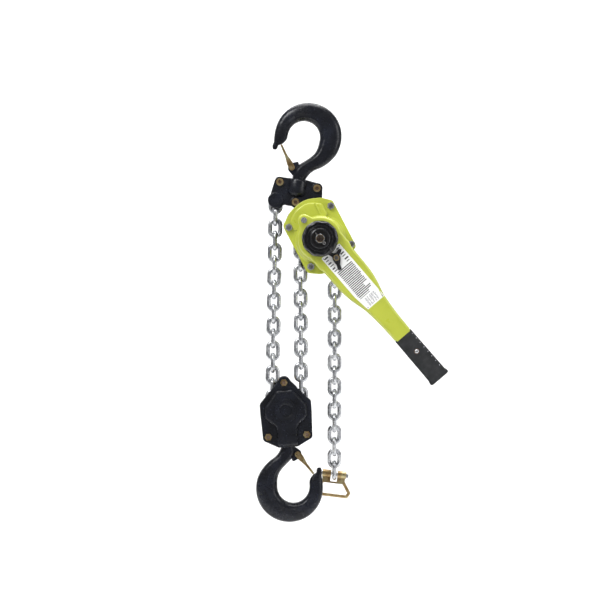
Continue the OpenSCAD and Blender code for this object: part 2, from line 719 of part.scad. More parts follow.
module block_solid() difference() {
    union() {
        for (m = [0, 1]) mirror([0, m, 0]) {
            across(block_in, block_plate) block_outline();
            across(block_plate, block_face) polygon(pan_outline());
            pin_y(27.4, block_face, block_face + 2);
        }
        across(-block_in, block_in)
            polygon(rounded([[-27, -54.8, 3], [27, -54.8, 3], [27, -83, 5], [-27, -83, 5]]));
    }
    translate([0, 0, -100]) cylinder(r = shank_d / 2 + run, h = 50);
    translate([0, 0, -68.4]) cylinder(r = 20 + 2 * run, h = 15);
    pin_y(33, -block_plate - 4, block_plate + 4);
    pin_y(axle_r, -60, 60);
    for (p = block_bolt_at) pin_y(5, -60, 60, p);
}
module block_front() color(BLACK) at_block() intersection() {
    block_solid();
    translate([-100, -100, -100]) cube([200, 100, 300]);
}
module block_rear() color(BLACK) at_block() intersection() {
    block_solid();
    translate([-100, 0, -100]) cube([200, 100, 300]);
}
module block_bolts() color(GOLD) at_block() for (p = block_bolt_at) union() {
    pin_y(7, -block_in, block_in, p);
    pin_y(5, -block_plate - 9, block_plate + 9, p);
    for (y = [-block_plate - 7, block_plate]) hex(7.4, y, y + 7, p);
}
module idler_axle() color(STEEL) at_block() union() {
    pin_y(axle_r, -block_face - 3, block_face + 3);
    for (y = [-block_face - 3, block_face + 2]) pin_y(12, y, y + 1, [0, 0]);
}
module idler_sheave() color(STEEL) spot(axle) difference() {
    union() {
        pin_y(16.8, -18.8, 18.8);
        for (s = [-1, 1]) {
            pin_y(26.8, min(s * 6.3, s * 18.8), max(s * 6.3, s * 18.8));
            pin_y(40, min(s * 17.3, s * 18.8), max(s * 17.3, s * 18.8));
        }
    }
    pin_y(axle_r + run / 5, -40, 40);
}

// ---------------------------------------------------------------- stop ring on the free end
ring_pin_z = -pitch * (tail_links - 0.5) - link_in / 2 + 4 + run;
ring_wire = 3.75;
ring_turn = 7;
module at_ring() at_tail() translate([0, 0, ring_pin_z]) rotate([-tail_lean, 0, 0]) rotate([0, ring_turn, 0])
    children();
module rod(a, b, r) translate(a) let (d = b - a)
    rotate([0, acos(d[2] / norm(d)), atan2(d[1], d[0])]) cylinder(r = r, h = norm(d), $fn = 32);
module loop_rod(a, b) rod([a[0], 0, a[1]], [b[0], 0, b[1]], ring_wire);

module stop_ring() color(GOLD) at_ring() difference() {
    union() {
        rotate([0, 90, 0]) cylinder(r = 9, h = 55, center = true);
        across(-4, 4) polygon(rounded([[-27.5, 0, 0], [-25, -21, 3], [25, -21, 3], [27.5, 0, 0]]));
        for (s = [-1, 1]) {
            loop_rod([s * 22, -15], [s * ring_w / 2, -40]);
            spot([s * ring_w / 2, -40]) sphere(r = ring_wire, $fn = 32);
            loop_rod([s * ring_w / 2, -40], [s * (ring_w / 2 - 5), -49]);
            spot([s * (ring_w / 2 - 5), -49]) sphere(r = ring_wire, $fn = 32);
        }
        loop_rod([5 - ring_w / 2, -49], [ring_w / 2 - 5, -49]);
    }
    rotate([0, 90, 0]) cylinder(r = 4, h = 80, center = true);
    box([-7.6, 7.6], [-20, 20], [-17.2, 20]);
}
module stop_pin() color(ZINC) at_ring() rotate([0, 90, 0]) union() {
    translate([0, 0, -27.5]) cylinder(r = 4, h = 59);
    translate([0, 0, -30.5]) cylinder(r = 6, h = 3);
    translate([0, 0, 28]) cylinder(r = 6.5, h = 5, $fn = 6);
}

top_hook();
top_hook_nut();
top_latch_pin();
top_latch();
yoke_front();
yoke_rear();
yoke_bolts();
dead_end_pin();
suspension_pin();
front_side_plate();
rear_side_plate();
stay_bolts();
stay_nuts();
sheave_bearings();
chain_guide();
chain_stripper();
brake_cover();
gear_cover();
gear_bushes();
ratchet_disc();
pawl_pins();
chain_dead_upper();
chain_on_sheave();
load_sheave();
load_gear();
drive_shaft();
brake_hub();
friction_discs();
drive_gear();
castle_nut();
split_pin();
handwheel();
handwheel_spring();
disc_gear_upper();
disc_gear_lower();
pawl_left();
pawl_right();
lever_case_front();
lever_case_rear();
lever_screws();
label_plate();
grip();
grip_screw();
selector_lever();
selector_shaft();
selector_nut();
chain_falls();
block_front();
block_rear();
block_bolts();
idler_axle();
idler_sheave();
bottom_hook();
bottom_hook_nut();
bottom_latch_pin();
bottom_latch();
chain_tail();
stop_ring();
stop_pin();
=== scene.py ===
import json
import math
import random

import bmesh
import bpy
from mathutils import Matrix, Vector


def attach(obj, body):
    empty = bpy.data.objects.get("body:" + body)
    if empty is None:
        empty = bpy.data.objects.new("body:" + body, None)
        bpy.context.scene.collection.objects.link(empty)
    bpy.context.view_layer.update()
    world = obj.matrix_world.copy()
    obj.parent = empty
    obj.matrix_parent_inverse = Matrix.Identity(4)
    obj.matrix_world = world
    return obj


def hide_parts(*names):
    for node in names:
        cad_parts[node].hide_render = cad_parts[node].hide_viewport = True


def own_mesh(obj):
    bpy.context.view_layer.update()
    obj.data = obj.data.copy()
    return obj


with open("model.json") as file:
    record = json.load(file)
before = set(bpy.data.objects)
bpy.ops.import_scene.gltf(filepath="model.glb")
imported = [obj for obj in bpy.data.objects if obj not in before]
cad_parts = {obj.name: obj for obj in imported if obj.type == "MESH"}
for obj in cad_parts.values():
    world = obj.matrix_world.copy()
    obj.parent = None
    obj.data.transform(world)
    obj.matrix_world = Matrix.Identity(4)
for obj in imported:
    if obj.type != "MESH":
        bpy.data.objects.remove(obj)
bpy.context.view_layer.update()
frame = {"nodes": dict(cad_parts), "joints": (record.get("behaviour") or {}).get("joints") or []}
MM = 0.001
rng = random.Random(7)
joint = {j["name"]: j for j in frame["joints"]}


# ---------------------------------------------------------------- frames of the hoist's parts
def place(origin, turn):
    """A part's own frame: x across, z up and y front to back, turned clockwise from the front."""
    return Matrix.Translation(Vector(origin)) @ Matrix.Rotation(turn, 4, "Y")


def joint_at(name):
    return Vector(joint[name]["pos_m"])


def clockwise_of(vector):
    """The clockwise turn from straight up to vector, seen from the front."""
    return math.atan2(vector.x, vector.z)


DRIVE = joint_at("lever_turn")
YOKE = place((0, 0, 0), clockwise_of(Vector(joint["top_hook_swivel"]["axis"])))
BODY = place(DRIVE, clockwise_of(joint_at("disc_gear_upper_turn") - DRIVE))
LEVER = place(DRIVE, clockwise_of(DRIVE - joint_at("selector_turn")))
BLOCK = place(joint_at("block_tilt"), clockwise_of(Vector(joint["bottom_hook_swivel"]["axis"])))
SHANK_X = 5 * MM                # the hooks' shanks stand beside their seats' centres
SEAT_DOWN = -175.5 * MM         # the bottom hook's seat, below the block's centre
LOW_HOOK = BLOCK @ place((SHANK_X, 0, SEAT_DOWN), math.pi)


# ---------------------------------------------------------------- outlines, in millimetres
def polar(r, degrees):
    a = math.radians(degrees)
    return Vector((r * math.cos(a), r * math.sin(a)))


def arc(centre, r, a0, a1, steps=12):
    return [Vector(centre) + polar(r, a0 + (a1 - a0) * k / steps) for k in range(steps + 1)]


def circle(r, centre, steps):
    return arc(centre, r, 0, 360 - 360 / steps, steps - 1)


def rounded(points, steps=6):
    """An outline from (x, z, corner radius) points."""
    out = []
    for i, (x, z, r) in enumerate(points):
        p = Vector((x, z))
        if r == 0:
            out.append(p)
            continue
        u = (Vector(points[i - 1][:2]) - p).normalized()
        v = (Vector(points[(i + 1) % len(points)][:2]) - p).normalized()
        half = u.angle(v) / 2
        centre = p + (u + v).normalized() * r / math.sin(half)
        first = p + u * r / math.tan(half) - centre
        last = p + v * r / math.tan(half) - centre
        start = math.atan2(first.y, first.x)
        turn = (math.atan2(last.y, last.x) - start + math.pi) % (2 * math.pi) - math.pi
        angles = [start + turn * k / steps for k in range(steps + 1)]
        out += [centre + r * Vector((math.cos(a), math.sin(a))) for a in angles]
    return out


def rounded_box(x0, x1, z0, z1, r=0, steps=6):
    return rounded([(x0, z0, r), (x1, z0, r), (x1, z1, r), (x0, z1, r)], steps)


def drawn_in(outline, inset, centre=(0, 0)):
    """The outline with each point moved by inset towards centre."""
    return [p - (p - Vector(centre)).normalized() * inset for p in outline]


# ---------------------------------------------------------------- mesh helpers
def loft(bm, rings, close=True):
    """Skins rings of points, given in metres, and closes both ends."""
    rows = [[bm.verts.new(p) for p in ring] for ring in rings]
    n = len(rows[0])
    for a, b in zip(rows, rows[1:]):
        for i in range(n):
            j = (i + 1) % n
            bm.faces.new((a[i], a[j], b[j], b[i]))
    if close:
        bm.faces.new(list(reversed(rows[0])))
        bm.faces.new(rows[-1])


def raised(bm, outline_at, levels):
    """Stacks the outlines that outline_at(inset) gives at each (y, inset) level, in mm."""
    loft(bm, [[(p.x * MM, y * MM, p.y * MM) for p in outline_at(inset)] for y, inset in levels])


def prism(bm, outline, y0, y1, draft=0.0):
    """A closed prism over an outline, from y0 to y1 in mm, its front drawn in by draft."""
    centre = sum(outline, Vector((0, 0))) / len(outline)
    raised(bm, lambda inset: drawn_in(outline, inset, centre), ((y0, draft), (y1, 0)))


def lathe(bm, profile, centre=(0, 0), steps=64):
    """Turns (radius, y) points, in mm, about the y axis through centre, and closes both ends."""
    angles = [2 * math.pi * k / steps for k in range(steps)]
    x, z = centre
    loft(bm, [[((x + r * math.cos(a)) * MM, y * MM, (z + r * math.sin(a)) * MM) for a in angles]
              for r, y in profile])


def lathe_z(bm, profile, x, steps=48):
    """Turns (radius, z) points, in mm, about an upright axis at x metres."""
    angles = [2 * math.pi * k / steps for k in range(steps)]
    loft(bm, [[(x + r * MM * math.cos(a), r * MM * math.sin(a), z * MM) for a in angles] for r, z in profile])


def add_bevel(piece, width, segments=2, angle=32):
    edge = piece.modifiers.new("edge", "BEVEL")
    edge.width = width * MM
    edge.segments = segments
    edge.limit_method = "ANGLE"
    edge.angle_limit = math.radians(angle)
    edge.use_clamp_overlap = True


def shade(piece, degrees):
    """Smooth shading, with sharp edges where faces meet at more than degrees."""
    for face in piece.data.polygons:
        face.use_smooth = True
    if degrees < 180:
        piece.data.set_sharp_from_angle(angle=math.radians(degrees))


# ---------------------------------------------------------------- materials
def noise(tree, where, scale, detail=4.0, rough=0.55):
    n = tree.nodes.new("ShaderNodeTexNoise")
    n.inputs["Scale"].default_value = scale
    n.inputs["Detail"].default_value = detail
    n.inputs["Roughness"].default_value = rough
    tree.links.new(where, n.inputs["Vector"])
    return n.outputs["Fac"]


def ramp(tree, value, stops):
    r = tree.nodes.new("ShaderNodeValToRGB")
    while len(r.color_ramp.elements) < len(stops):
        r.color_ramp.elements.new(0.5)
    for element, (at, colour) in zip(r.color_ramp.elements, stops):
        element.position = at
        element.color = (*colour, 1)
    tree.links.new(value, r.inputs[0])
    return r.outputs[0]


def spread(tree, value, low, high, start=0.3, end=0.7):
    """Maps value from start..end to low..high."""
    r = tree.nodes.new("ShaderNodeMapRange")
    for key, v in (("From Min", start), ("From Max", end), ("To Min", low), ("To Max", high)):
        r.inputs[key].default_value = v
    tree.links.new(value, r.inputs["Value"])
    return r.outputs[0]


def flecked(tree, where, colour, specks):
    """Small patches over colour, from specks: their colour, noise scale and threshold."""
    fleck_colour, scale, start = specks
    fleck = spread(tree, noise(tree, where, scale, 6, 0.7), 0, 1, start, start + 0.04)
    mix = tree.nodes.new("ShaderNodeMix")
    mix.data_type = "RGBA"
    tree.links.new(fleck, mix.inputs[0])
    tree.links.new(colour, mix.inputs[6])
    mix.inputs[7].default_value = (*fleck_colour, 1)
    return mix.outputs[2]


def bump(tree, bsdf, where, layers):
    """Chains bump layers of (noise scale, depth in mm)."""
    last = None
    for scale, depth in layers:
        b = tree.nodes.new("ShaderNodeBump")
        b.inputs["Strength"].default_value = 1.0
        b.inputs["Distance"].default_value = depth * MM
        tree.links.new(noise(tree, where, scale), b.inputs["Height"])
        if last:
            tree.links.new(last, b.inputs["Normal"])
        last = b.outputs[0]
    tree.links.new(last, bsdf.inputs["Normal"])


def surface(name, dark, mid, light, tone_scale, rough, layers, metal=0.0, coat=0.0, coat_rough=0.15,
            specks=None, specular=0.5):
    """Paint, metal or rubber: drifting tones, uneven roughness, bump layers and specks of wear."""
    material = bpy.data.materials.new(name)
    material.use_nodes = True
    tree = material.node_tree
    tree.nodes.clear()
    out = tree.nodes.new("ShaderNodeOutputMaterial")
    bsdf = tree.nodes.new("ShaderNodeBsdfPrincipled")
    tree.links.new(bsdf.outputs[0], out.inputs[0])
    where = tree.nodes.new("ShaderNodeTexCoord").outputs["Object"]
    colour = ramp(tree, noise(tree, where, tone_scale, 5), [(0.3, dark), (0.5, mid), (0.72, light)])
    if specks:
        colour = flecked(tree, where, colour, specks)
    tree.links.new(colour, bsdf.inputs["Base Color"])
    uneven = spread(tree, noise(tree, where, tone_scale * 2.7, 6), *rough)
    tree.links.new(uneven, bsdf.inputs["Roughness"])
    bsdf.inputs["Metallic"].default_value = metal
    bsdf.inputs["Specular IOR Level"].default_value = specular
    bsdf.inputs["Coat Weight"].default_value = coat
    bsdf.inputs["Coat Roughness"].default_value = coat_rough
    bump(tree, bsdf, where, layers)
    return material


BLACK = surface(
    "black_paint", (0.002, 0.0025, 0.0045), (0.0045, 0.0055, 0.0095), (0.009, 0.011, 0.019), 26, (0.2, 0.34),
    ((70, 1.3), (300, 0.14), (900, 0.03)), coat=0.08, coat_rough=0.12,
    specks=((0.04, 0.042, 0.05), 420, 0.69), specular=0.3)
GLOSS = surface(
    "handwheel_paint", (0.004, 0.004, 0.005), (0.008, 0.008, 0.01), (0.014, 0.014, 0.017), 40, (0.16, 0.28),
    ((140, 0.25), (700, 0.05)), coat=0.2, coat_rough=0.1, specular=0.36)
LIME = surface(
    "lime_paint", (0.41, 0.455, 0.04), (0.47, 0.52, 0.05), (0.51, 0.56, 0.06), 14, (0.26, 0.38),
    ((120, 0.12), (620, 0.035)), coat=0.4, coat_rough=0.12, specks=((0.33, 0.4, 0.04), 520, 0.72))
CHAIN = surface(
    "chain_zinc", (0.34, 0.35, 0.37), (0.5, 0.51, 0.53), (0.66, 0.67, 0.68), 55, (0.16, 0.34),
    ((180, 0.4), (900, 0.08)), metal=1.0, specks=((0.22, 0.23, 0.25), 300, 0.68))
GOLD = surface(
    "yellow_zinc", (0.2, 0.13, 0.055), (0.36, 0.255, 0.125), (0.47, 0.42, 0.24), 75, (0.24, 0.42),
    ((220, 0.25), (900, 0.06)), metal=1.0, specks=((0.3, 0.36, 0.28), 150, 0.64))
BRIGHT = surface(
    "bright_zinc", (0.36, 0.365, 0.38), (0.54, 0.55, 0.57), (0.72, 0.72, 0.73), 90, (0.16, 0.32),
    ((400, 0.06),), metal=1.0)
STEEL = surface(
    "machined_steel", (0.1, 0.095, 0.09), (0.2, 0.2, 0.2), (0.34, 0.34, 0.34), 60, (0.26, 0.45),
    ((500, 0.06),), metal=1.0, specks=((0.12, 0.1, 0.08), 260, 0.68))
OXIDE = surface(
    "oiled_steel", (0.025, 0.018, 0.013), (0.06, 0.045, 0.036), (0.13, 0.11, 0.09), 160, (0.3, 0.5),
    ((500, 0.08),), metal=1.0, specks=((0.2, 0.19, 0.17), 420, 0.66))
RUBBER = surface(
    "grip_rubber", (0.012, 0.013, 0.014), (0.019, 0.02, 0.022), (0.03, 0.031, 0.033), 45, (0.62, 0.8),
    ((520, 0.3), (1500, 0.12)), specular=0.35)
# Friction lining's brown, also lent to the grip screw's cup, the block's bolt ends and, as painted shade, the
# yoke bolts' hex sockets
LINING = surface(
    "friction_lining", (0.06, 0.035, 0.02), (0.1, 0.06, 0.04), (0.15, 0.1, 0.06), 300, (0.7, 0.9),
    ((900, 0.1),))
BRONZE = surface(
    "bush_bronze", (0.32, 0.2, 0.07), (0.45, 0.3, 0.12), (0.55, 0.4, 0.18), 120, (0.35, 0.5),
    ((800, 0.05),), metal=1.0)
FILM = surface(
    "label_film", (0.88, 0.88, 0.87), (0.93, 0.93, 0.92), (0.96, 0.96, 0.95), 30, (0.3, 0.42),
    ((260, 0.05),))
INK = surface(
    "label_ink", (0.015, 0.015, 0.017), (0.03, 0.03, 0.033), (0.06, 0.06, 0.065), 500, (0.4, 0.55),
    ((800, 0.02),))
# Grey for the label's fine print, also used as painted highlight on the grip's raised dashes
GREY_INK_AND_PAINTED_HIGHLIGHT = surface(
    "label_grey_and_painted_highlight", (0.22, 0.22, 0.24), (0.3, 0.3, 0.33), (0.4, 0.4, 0.43), 700, (0.4, 0.55),
    ((800, 0.02),))
SLOT_LOOK = {
    "black_paint": BLACK, "handwheel_black": GLOSS, "lime_paint": LIME, "chain_zinc": CHAIN,
    "yellow_zinc": GOLD, "bright_zinc": BRIGHT, "machined_steel": STEEL, "grip_rubber": RUBBER,
    "friction_lining": LINING, "bush_bronze": BRONZE, "label_film": FILM}


def finish_piece(name, bm, matrix, body, slot, replaces=(), bevel=0, segments=3, smooth=35, look=None):
    """Makes the piece that bm holds, in the frame matrix, and sets it on body, in the slot's look or look."""
    bmesh.ops.remove_doubles(bm, verts=bm.verts, dist=1e-6)
    bmesh.ops.recalc_face_normals(bm, faces=bm.faces)
    mesh = bpy.data.meshes.new(name)
    bm.to_mesh(mesh)
    bm.free()
    mesh.transform(matrix)
    piece = bpy.data.objects.new(name, mesh)
    bpy.context.scene.collection.objects.link(piece)
    mesh.materials.append(look or SLOT_LOOK[slot])
    if bevel:
        add_bevel(piece, bevel, segments)
    shade(piece, smooth)
    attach(piece, body)
    if replaces:
        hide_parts(*replaces)
    return piece


# ---------------------------------------------------------------- hooks
# Cross-sections: inner (x, z), outer (x, z) and half thickness
SHANK_SECTIONS = [
    ((-9.8, -103), (19.8, -103), 15), ((-10.4, -94), (21, -94), 15.4), ((-11.2, -86), (24.5, -87), 16),
    ((-9.5, -76), (29.5, -78), 16.4), ((-2, -64.5), (38, -70), 16.6), ((11, -53), (49, -64.4), 16.9),
    ((23, -42.5), (60, -55), 17), ((31.5, -31.5), (70, -44.5), 17), ((35.4, -19), (79, -31), 17)]
NOSE_SECTIONS = [
    ((-36.2, -8), (-67.8, -8.5), 11.4), ((-39.4, -16), (-67, -16), 9), ((-43.6, -22), (-66, -20.5), 7.8),
    ((-50.5, -27), (-66.4, -24.5), 6.7), ((-55.4, -28.6), (-67.6, -28.6), 6.3),
    ((-54.6, -33), (-67.8, -33.4), 6.6), ((-56.2, -37), (-66, -37.4), 5.6)]
SEAT_R = 36.6                   # the bowl's inner arc, about the seat's centre
BACK_CENTRE = Vector((9.5, 4.2))
BACK_R = 77.6                   # the bowl's outer arc
BOWL_HALF = 17                  # half the bowl's thickness
BOWL_STEPS = 16
# Half a cross-section, from the inner edge to the outer: a bevel, a ridge beside it and a flat flank
FLANK = ((1, 0), (0.985, 0.34), (0.87, 0.62), (0.68, 0.9), (0.5, 1), (0.3, 0.945), (-0.1, 0.92), (-0.5, 0.87),
         (-0.8, 0.68), (-0.965, 0.36), (-1, 0))
LUG_HALF = 6.9                  # half the thickness of the lug for the latch
LATCH_PIVOT = Vector((-15, -73))
LATCH_TIP = Vector((-50, -23))
CHEEK_DEPTHS = (7.6, 9.3)       # the latch's cheeks, inner and outer faces from the middle


def hook_sections():
    """All the sections, from the shank round the bowl to the nose. The bowl thins towards the nose."""
    inner = arc((0, 0), SEAT_R, -12, 180, BOWL_STEPS)
    outer = arc(BACK_CENTRE, BACK_R, -17, 180, BOWL_STEPS)
    halves = [BOWL_HALF - 11 * max(0.0, k / BOWL_STEPS - 0.6) for k in range(BOWL_STEPS + 1)]
    return SHANK_SECTIONS + list(zip(inner, outer, halves)) + NOSE_SECTIONS


def hook_ring(inner, outer, half):
    """One cross-section, which becomes round on the shank."""
    a, b = Vector(inner), Vector(outer)
    mid, reach = (a + b) / 2, (a - b) / 2
    shank = min(1.0, max(0.0, (-80 - a.y) / 12))
    ring = []
    for k in range(20):
        i = min(k, 20 - k)
        u, v = FLANK[i]
        u += shank * (math.cos(math.radians(18 * i)) - u)
        v += shank * (math.sin(math.radians(18 * i)) - v)
        p = mid + reach * u
        ring.append(Vector((p.x * MM, half * (v if k <= 10 else -v) * MM, p.y * MM)))
    return ring


def hook(node, matrix, body):
    """A forged hook with its rounded nub, the lug that carries the latch, and the turned shank."""
    rings = [hook_ring(*section) for section in hook_sections()]
    tip = rings[-1]
    centre = sum(tip, Vector()) / len(tip)
    drift = Vector((-0.6 * MM, 0, -2.4 * MM))
    rings += [[centre + (p - centre) * size + drift * reach for p in tip]
              for size, reach in ((0.86, 0.7), (0.45, 1))]
    forging = bmesh.new()
    loft(forging, rings)
    piece = finish_piece(node + "_forging", forging, matrix, body, "black_paint", (node,), smooth=180)
    rounding = piece.modifiers.new("smooth", "SUBSURF")
    rounding.levels, rounding.render_levels = 1, 2
    lug = bmesh.new()
    prism(lug, rounded([
        (-2, -56, 4), (-17, -63, 7), (-24.4, -69, 6), (-23, -80, 7), (-10, -91, 5), (4, -86, 3)]),
          -LUG_HALF, LUG_HALF)
    finish_piece(node + "_latch_lug", lug, matrix, body, "black_paint", bevel=2.2, segments=4)
    shank = bmesh.new()
    lathe_z(shank, [(14.9, -118), (14.9, -90)], SHANK_X)
    finish_piece(node + "_shank", shank, matrix, body, "black_paint", bevel=1)


def latch(node, matrix, body):
    """A pressed latch: two cheeks from the pin to either side of the nose, joined by a bridge."""
    along = LATCH_TIP - LATCH_PIVOT
    own = matrix @ place((LATCH_PIVOT.x * MM, 0, LATCH_PIVOT.y * MM), math.atan2(along.x, along.y))
    cheek = rounded([(-6.9, -6.9, 6.6), (6.9, -6.9, 6.6), (6.2, 12, 8), (2.6, 30, 8), (2.2, 57.6, 2),
                     (-2.2, 57.6, 2), (-3.4, 30, 8), (-7, 12, 8)])
    bm = bmesh.new()
    for side in (-1, 1):
        prism(bm, cheek, *sorted(side * y for y in CHEEK_DEPTHS))
    prism(bm, rounded([(-3.2, 31, 0.5), (2.3, 31, 0.5), (2, 44, 0.5), (-2, 44, 0.5)]), -8.2, 8.2)
    finish_piece(node + "_pressing", bm, own, body, "yellow_zinc", (node,), bevel=0.8)


# ---------------------------------------------------------------- yoke
YOKE_OUTLINE = rounded([
    (-47.5, -99.5, 9), (25, -96, 30), (61.5, -99.5, 10), (65.5, -131, 6), (52.5, -167.5, 16),
    (26, -169.5, 14), (8, -160.5, 10), (-20, -160.5, 6), (-24, -172.5, 10), (-49.5, -172.5, 14),
    (-53.5, -150, 8)])
DEAD_PIN = (-38.9, -153.6)
YOKE_BOLTS = ((-36.2, -111), (49.9, -110.5), (7.1, -150))
YOKE_FACE = 14.5                # each half's outer face, and the faces of its boss and pads
BOSS_FACE = 20.4
PAD_FACE = 15.6
BARREL_R = 25
# The barrel's levels down the shank: z and the share of its full radius
BARREL_LEVELS = ((-97.6, 0.86), (-99.5, 0.96), (-103, 1.0), (-128, 1.0), (-133, 0.93), (-136.5, 0.78),
                 (-138, 0.62))


def yoke(node, side):
    """One cast half of the yoke, at the front for side -1: plate, anchor boss, hook barrel and bolt pads."""
    def cast(part, bm, bevel, segments, replaces=(), smooth=35):
        finish_piece(node + part, bm, YOKE, "hoist_body", "black_paint", replaces, bevel, segments, smooth)

    plate = bmesh.new()
    prism(plate, YOKE_OUTLINE, *sorted((side * YOKE_FACE, side * 0.1)))
    cast("_casting", plate, 2.5, 4, (node,))
    boss = bmesh.new()
    lathe(boss, [(17.5, side * BOSS_FACE), (17.5, side * 9)], DEAD_PIN)
    cast("_anchor_boss", boss, 2, 4)
    barrel = bmesh.new()
    half = [polar(BARREL_R, a) for a in range(22, 159, 8)]
    rows = []
    for z, size in BARREL_LEVELS:
        row = [(SHANK_X + p.x * size * MM, side * p.y * size * MM, z * MM) for p in half]
        row += [(SHANK_X + p.x * size * MM, side * 2 * MM, z * MM) for p in (half[-1], half[0])]
        rows.append(row)
    loft(barrel, rows)
    cast("_barrel", barrel, 1.2, 3, smooth=50)
    pads = bmesh.new()
    for bolt in YOKE_BOLTS:
        lathe(pads, [(12.5, side * PAD_FACE), (12.5, side * 8)], bolt)
    cast("_bolt_pads", pads, 1.5, 3)


def yoke_bolt_sockets():
    # Dark hexagons on the yoke bolts' heads: painted shade in place of the hex sockets' hollows, in the
    # friction lining's dark brown
    floors = bmesh.new()
    for bolt in YOKE_BOLTS:
        prism(floors, circle(4.5, bolt, 6), -18.1, -17.5)
    finish_piece("yoke_bolt_socket_painted_shade", floors, YOKE, "hoist_body", "yellow_zinc", look=LINING)


# ---------------------------------------------------------------- covers of the hoist body
COVER_OUTLINE = rounded([
    (-61, 66, 10), (-30, 88, 40), (8, 98, 60), (46, 84, 40), (66.5, 66, 10), (67.5, -52, 10), (40, -66, 40),
    (4, -79, 60), (-34, -72, 40), (-60, -55, 12)], 8)
FIELD_OUTLINE = rounded([
    (-46, 66, 20), (-20, 86, 34), (12, 90, 40), (42, 72, 12), (44, 34, 10), (0, 44, 60), (-44, 34, 14)])
GEAR_CASE_OUTLINE = rounded([
    (-38, 76, 24), (38, 76, 24), (46, 0, 60), (38, -70, 24), (-38, -70, 24), (-46, 0, 60)])
COVER_DEPTHS = (27.2, 30.2)     # both covers' flanges, inner and outer faces from the middle


def cover_piece(name, bm, replaces=(), bevel=0, segments=3, smooth=35):
    finish_piece(name, bm, BODY, "hoist_body", "lime_paint", replaces, bevel, segments, smooth)


def brake_cover():
    """The front cover: flange, brake drum, the raised field above it and the field's rib."""
    flange = bmesh.new()
    prism(flange, COVER_OUTLINE, -COVER_DEPTHS[1], -COVER_DEPTHS[0])
    cover_piece("brake_cover_flange", flange, ("brake_cover",), bevel=1.2)
    drum = bmesh.new()
    lathe(drum, [(20, -49.6), (20, -51.5), (24, -52), (46, -52), (50.5, -50.8), (53.6, -47.6), (54.6, -43),
                 (55, -34), (58, -30.6), (60, -30.1), (50, -30), (50, -47), (47, -49.6)])
    cover_piece("brake_cover_drum", drum, smooth=40)
    field = bmesh.new()
    prism(field, FIELD_OUTLINE, -38.6, -29.9, draft=2.5)
    cover_piece("brake_cover_field", field, bevel=2.6, segments=5, smooth=50)
    rib = bmesh.new()
    prism(rib, rounded_box(25, 29, 46, 80, 2), -40.4, -38)
    cover_piece("brake_cover_rib", rib, bevel=0.9)


def gear_cover():
    """The rear cover: flange, drawn gear case and three bearing caps."""
    flange = bmesh.new()
    prism(flange, COVER_OUTLINE, *COVER_DEPTHS)
    cover_piece("gear_cover_flange", flange, ("gear_cover",), bevel=1.2)
    case = bmesh.new()
    raised(case, lambda inset: drawn_in(GEAR_CASE_OUTLINE, inset),
           ((30, -3.5), (31.5, -0.8), (35, 0), (52, 0.8), (57, 3.2), (59.4, 7.5), (59.8, 11)))
    cover_piece("gear_cover_case", case, smooth=50)
    caps = bmesh.new()
    for z in (-40.5, 0, 40.5):
        lathe(caps, [(12, 59), (12, 59.9), (8, 60), (7, 59.4)], (0, z))
    cover_piece("gear_cover_bearing_caps", caps, bevel=0.4, smooth=40)


# ---------------------------------------------------------------- lever
# Distances down the lever from the shaft, and the case's half width there
HALF_WIDTH = (
    (34, 49), (46, 46.5), (58, 42.8), (67, 41.5), (103, 40.7), (130, 39.5), (155, 35.5), (190, 26.7),
    (225, 23), (250, 21.5), (287, 20.5), (300, 20), (320, 20))
HEAD_R = 50
LOBE = (0, 55.6)
LOBE_R = 13.8
LEVER_Y = -73                   # the seam between the two pressings
GRIP_SCREW = (0, -335)


def smooth_width(s):
    """The case's half width at s from the shaft, on a smooth curve through HALF_WIDTH."""
    i = max(k for k in range(1, len(HALF_WIDTH) - 2) if HALF_WIDTH[k][0] <= max(s, HALF_WIDTH[1][0]))
    (s0, w0), (s1, w1), (s2, w2), (s3, w3) = HALF_WIDTH[i - 1:i + 3]
    h = s2 - s1
    f = (s - s1) / h
    slope1, slope2 = (w2 - w0) / (s2 - s0) * h, (w3 - w1) / (s3 - s1) * h
    return ((2 * f ** 3 - 3 * f * f + 1) * w1 + (f ** 3 - 2 * f * f + f) * slope1
            + (3 * f * f - 2 * f ** 3) * w2 + (f ** 3 - f * f) * slope2)


def lever_outline(inset):
    """The case's outline: right edge down, left edge up, then round the head and its lobe."""
    right = [Vector((smooth_width(s) - inset, -s)) for s in range(50, 291, 10)]
    left = [Vector((-p.x, p.y)) for p in reversed(right)]
    head_left = arc((0, 0), HEAD_R - inset, 205, 112)
    lobe = arc(LOBE, LOBE_R - inset, 160, 20, 8)
    head_right = arc((0, 0), HEAD_R - inset, 68, -25)
    return right + left + head_left + lobe + head_right


def lever_case():
    """Two pressings with rolled edges, the lip along their seam and the bead along the front rim."""
    front = bmesh.new()
    raised(front, lever_outline, ((-73.1, 0), (-82.5, 0), (-84.6, 0.5), (-86.1, 1.8), (-86.8, 3.8), (-87, 7)))
    finish_piece("lever_case_front_pressing", front, LEVER, "lever", "lime_paint", ("lever_case_front",),
                 smooth=60)
    rear = bmesh.new()
    raised(rear, lever_outline, ((-57, 7), (-57.2, 3.8), (-57.9, 1.8), (-59.4, 0.5), (-61.5, 0), (-72.9, 0)))
    finish_piece("lever_case_rear_pressing", rear, LEVER, "lever", "lime_paint", ("lever_case_rear",),
                 smooth=60)
    strips = (("seam_lip", -74.6, -71.4, 1.4, -1.0), ("rim_bead", -87.7, -86.4, -3.2, -5.0))
    for name, y0, y1, near, far in strips:
        strip = bmesh.new()
        for side in (-1, 1):
            edge = [Vector((side * (smooth_width(s) + near), -s)) for s in range(62, 287, 4)]
            back = [Vector((side * (smooth_width(s) + far), -s)) for s in range(286, 61, -4)]
            prism(strip, edge + back, y0, y1)
        finish_piece("lever_case_" + name, strip, LEVER, "lever", "lime_paint", bevel=0.5, smooth=50)


